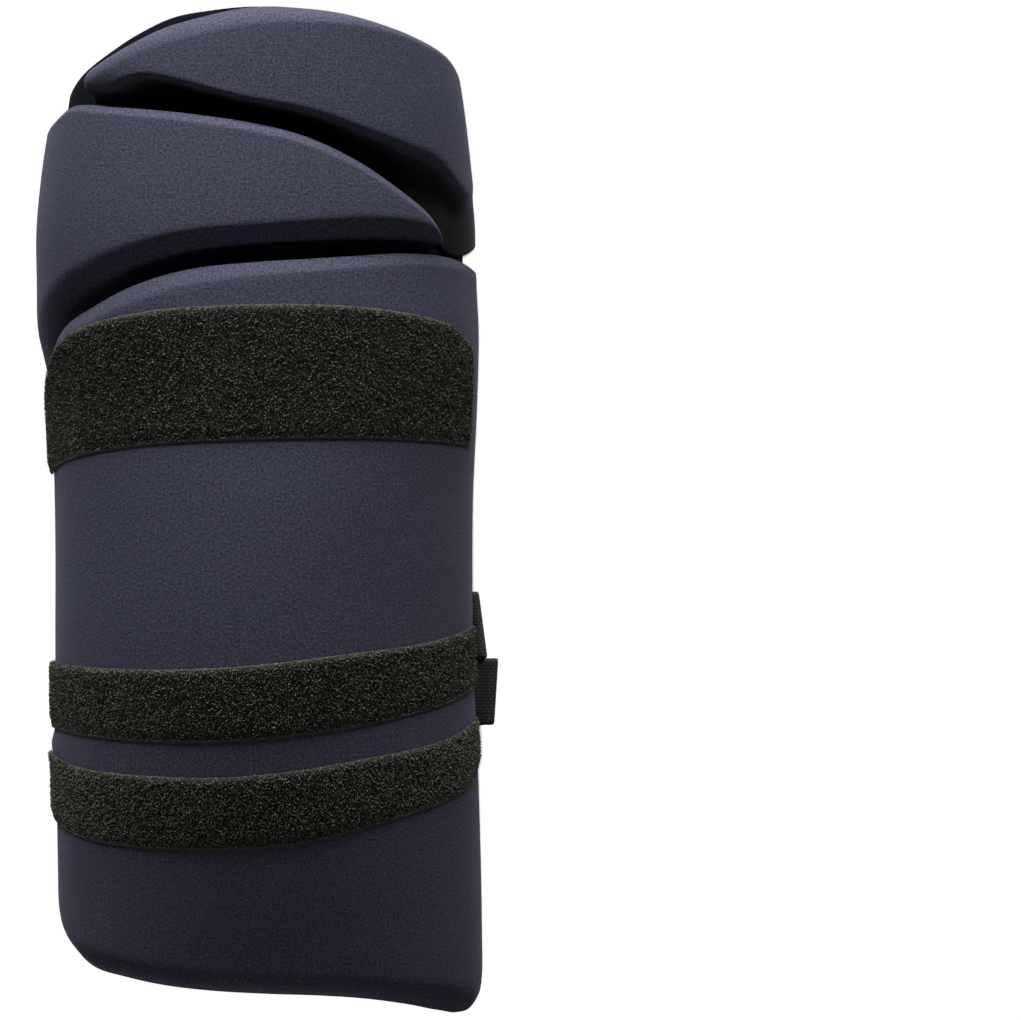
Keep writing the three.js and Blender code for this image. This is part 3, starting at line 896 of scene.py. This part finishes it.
def loop_part(rows, painted_light):
    """Small ribbon loops scattered over the ground, each with its own turn, lean and tone, and painted
    light.
    """
    length = ARC_RADIUS * math.radians(rows[-1, 0] - rows[0, 0])
    widest = np.max(rows[:, HIGH] - rows[:, LOW])
    columns = int(length / LOOP_SPACING)
    across = int(widest / LOOP_SPACING)
    column, row = np.meshgrid(np.arange(columns), np.arange(across), indexing="ij")
    count = column.size
    along_share = (column.ravel() + RNG.uniform(0.0, 1.0, count)) / columns
    across_share = (row.ravel() + RNG.uniform(0.0, 1.0, count)) / across
    angle = rows[0, 0] + (rows[-1, 0] - rows[0, 0]) * along_share
    low = curve(rows, LOW, angle) + LOOP_INSET_LOW
    high = curve(rows, HIGH, angle) - LOOP_INSET_HIGH
    y = low + (high - low) * across_share
    point, along, up, out = tape_frame(rows, angle, y)
    turn = RNG.uniform(0, math.pi, count)[:, None]
    heading = along * np.cos(turn) + up * np.sin(turn)
    side = up * np.cos(turn) - along * np.sin(turn)
    width = RNG.uniform(*LOOP_WIDTH, count)[:, None]
    full = LOOP_LOW_EDGE + (1 - LOOP_LOW_EDGE) * smoothstep(y - low, 0, LOOP_LOW_WIDTH)
    height = (full * RNG.uniform(*LOOP_HEIGHT, count))[:, None]
    yarn = RNG.uniform(*LOOP_YARN, count)[:, None]
    lean = RNG.uniform(-LOOP_LEAN, LOOP_LEAN, count)[:, None]
    twist = RNG.uniform(-LOOP_TWIST, LOOP_TWIST, count)[:, None]
    ribbon = side * np.cos(twist) + out * np.sin(twist)
    rails = []
    for t in np.linspace(0, 1, LOOP_POINTS):
        rise = height * 4 * t * (1 - t)
        middle = point + heading * width * (t - 0.5) + out * (rise - LOOP_ROOT) + side * lean * rise
        rails.append(np.stack([middle - ribbon * yarn, middle + ribbon * yarn], axis=1))
    points = np.stack(rails, axis=1)
    corners = np.arange(count)[:, None] * 2 * LOOP_POINTS + 2 * np.arange(LOOP_POINTS - 1)
    faces = np.stack([corners, corners + 2, corners + 3, corners + 1], axis=-1).reshape(-1, 4)
    flat = np.stack([ARC_RADIUS * np.radians(angle), y], axis=-1)
    uv = np.repeat(flat, 2 * LOOP_POINTS, axis=0)
    # Painted light: loops lighter along the upper edge, which faces the lamp, and along the lower edge,
    # lifting its shade
    painted_light_upper = LOOP_PAINTED_LIGHT_UPPER * (1 - smoothstep(high - y, 0, LOOP_PAINTED_LIGHT_WIDTH))
    painted_light_lower = LOOP_PAINTED_LIGHT_LOWER * (1 - smoothstep(y - low, 0, LOOP_PAINTED_LIGHT_WIDTH))
    own_tone = RNG.beta(*LOOP_TONES, count)
    tone = np.repeat(own_tone + painted_light_upper + painted_light_lower + painted_light, 2 * LOOP_POINTS)
    return {"points": points.reshape(-1, 3), "faces": faces, "uv": uv, "tone": tone, "material": 1}


TAPE_MATERIALS = [tape_ground(), loop_yarn()]
for node, rows in TAPES.items():
    ground = tape_ground_part(rows)
    loops = loop_part(rows, LOOP_PAINTED_LIGHT[node])
    add_piece(node + "_pile", node, [ground, loops], TAPE_MATERIALS)


# Elastic straps and the hook patches on their free ends
def strap_on_floor(strap, across, x, z):
    drift = np.minimum(0, x - strap["fold_x"]) * math.tan(math.radians(strap["slope"]))
    lean = across * math.tan(math.radians(strap["lean"]))
    return np.array([x - lean, strap["fold_y"] + across + drift, z])


def strap_line(strap, across):
    """One line along a strap's middle sheet, from its free end to the top of its sewn tab."""
    turn_x = strap["fold_x"] - STRAP_FOLD_RADIUS - ELASTIC / 2
    run_x = np.linspace(strap["end_x"], turn_x, STRAP_RUN_STEPS)
    points = [strap_on_floor(strap, across, x, ELASTIC / 2) for x in run_x]
    state = {"at": points[-1].copy(), "heading": 0.0}

    def go(length):
        ahead = np.array([math.cos(state["heading"]), 0, math.sin(state["heading"])])
        state["at"] = state["at"] + length * ahead
        points.append(state["at"])

    def bend(radius, turn, steps):
        half = math.radians(turn / steps / 2)
        for _ in range(steps):
            state["heading"] += half
            go(2 * radius * math.sin(abs(half)))
            state["heading"] += half

    bend(STRAP_FOLD_RADIUS, 180 + STRAP_FOLD_OVER, STRAP_FOLD_STEPS)
    settle = STRAP_SETTLE_RADIUS * (1 - math.cos(math.radians(STRAP_FOLD_OVER)))
    go((state["at"][2] - STRAP_LAYER_Z - settle) / math.sin(math.radians(STRAP_FOLD_OVER)))
    bend(STRAP_SETTLE_RADIUS, -STRAP_FOLD_OVER, STRAP_SETTLE_STEPS)
    tab_start = 90 - arc_angle(STRAP_TAB_START)
    tab_end = 90 - arc_angle(STRAP_TAB_END)
    tab_angles = np.linspace(tab_start, tab_end, STRAP_TAB_STEPS)
    tab_y = np.full(STRAP_TAB_STEPS, state["at"][1])
    tab = place(tab_angles, tab_y, lining_back(tab_angles) + GAP + ELASTIC / 2)
    straight = state["at"][0] - tab[0, 0] - STRAP_CORNER_RADIUS
    for _ in range(STRAP_STRAIGHT_STEPS):
        go(straight / STRAP_STRAIGHT_STEPS)
    bend(STRAP_CORNER_RADIUS, -90, STRAP_CORNER_STEPS)
    return np.concatenate([np.array(points), tab])


def band(lines, across, thickness, painted_light=0):
    """A flat band round lines along its middle sheet, thinner at its two selvages, and its length."""
    lines = np.stack(lines, axis=1)
    along = np.gradient(lines, axis=0)
    normal = unit(np.stack([-along[..., 2], np.zeros_like(along[..., 0]), along[..., 0]], axis=-1))
    border = ((1, 1), (1, 1), (0, 0))
    lines = np.pad(lines, border, mode="edge")
    normal = np.pad(normal, border, mode="edge")
    across = np.pad(across, 1, mode="edge")
    towards_edge = smoothstep(np.abs(across), STRAP_WIDTH / 2 - SELVAGE_WIDTH, STRAP_WIDTH / 2)
    edge = 1 - SELVAGE_THIN * towards_edge
    half = np.broadcast_to((thickness / 2 * edge)[None, :, None], lines.shape).copy()
    half[0] = half[-1] = 0
    half[:, 0] = half[:, -1] = 0
    lines[:, 0, 1] -= SELVAGE_BULGE
    lines[:, -1, 1] += SELVAGE_BULGE
    steps = np.linalg.norm(np.diff(lines, axis=0), axis=-1)
    run = np.concatenate([np.zeros((1, lines.shape[1])), np.cumsum(steps, axis=0)])
    uv = np.stack([run, np.broadcast_to(across, run.shape)], axis=-1)
    # Selvages' own shade, plus painted light where a strap tilts towards the key
    tone = np.broadcast_to(towards_edge + painted_light, run.shape)
    shell = closed_shell(lines + normal * half, lines - normal * half, uv, tone)
    return shell, float(run[-1].mean())


ELASTIC_CLOTH = woven_elastic()
HOOKS = hook_tape()
across = np.linspace(-STRAP_WIDTH / 2, STRAP_WIDTH / 2, BAND_LINES)
for node, strap in STRAPS.items():
    strap_lines = [strap_line(strap, share) for share in across]
    part, length = band(strap_lines, across, ELASTIC, strap["painted_light"])
    piece = add_piece(node + "_elastic", node, [part], [ELASTIC_CLOTH])
    hook_z = ELASTIC + GAP + HOOK_TAPE / 2
    hook_start = strap["end_x"] + HOOK_INSET
    hook_x = np.linspace(hook_start, hook_start + HOOK_LENGTH, HOOK_STEPS)
    hook_lines = [
        np.array([strap_on_floor(strap, share, x, hook_z) for x in hook_x])
        for share in across
    ]
    part, _ = band(hook_lines, across, HOOK_TAPE)
    add_piece(node + "_hook_patch", node + "_hook", [part], [HOOKS])

# Pale floor, which throws no light back on the pad
floor_paint = Paint("floor")
floor_place = floor_paint.node("ShaderNodeTexCoord").outputs["Object"]
floor_grain = floor_paint.noise(floor_place, scale=3, detail=2)
floor_paint.set(
    Base_Color=floor_paint.ramp(floor_grain, low=0.3, high=0.7, colours=FLOOR_COLOURS),
    Roughness=0.9,
)
bpy.ops.mesh.primitive_plane_add(size=FLOOR_SIZE, location=FLOOR_AT)
floor = bpy.context.object
floor.name = "floor"
floor.data.materials.append(floor_paint.material)
floor.visible_diffuse = False


# Soft studio light
def area_light(name, at, size, watts, lit):
    """A soft box aimed at the pad, which lights the given objects."""
    data = bpy.data.lights.new(name, "AREA")
    data.shape = "RECTANGLE"
    data.size = size[0]
    data.size_y = size[1]
    data.energy = watts
    light = bpy.data.objects.new(name, data)
    light.location = at
    light.rotation_euler = (-light.location).to_track_quat("-Z", "Y").to_euler()
    light.visible_camera = False
    bpy.context.collection.objects.link(light)
    receivers = bpy.data.collections.new(name)
    for thing in lit:
        receivers.objects.link(thing)
    light.light_linking.receiver_collection = receivers


pad = [thing for thing in bpy.context.scene.objects if thing.type == "MESH" and thing != floor]
area_light("key", KEY_AT, KEY_SIZE, KEY_WATTS, pad)
area_light("fill", FILL_AT, FILL_SIZE, FILL_WATTS, pad)
area_light("floor_wash", WASH_AT, WASH_SIZE, WASH_WATTS, [floor])
world = bpy.data.worlds.new("studio")
world.use_nodes = True
world.node_tree.nodes["Background"].inputs["Color"].default_value = (1, 1, 1, 1)
world.node_tree.nodes["Background"].inputs["Strength"].default_value = AMBIENT
bpy.context.scene.world = world
bpy.context.scene.view_settings.view_transform = "Standard"
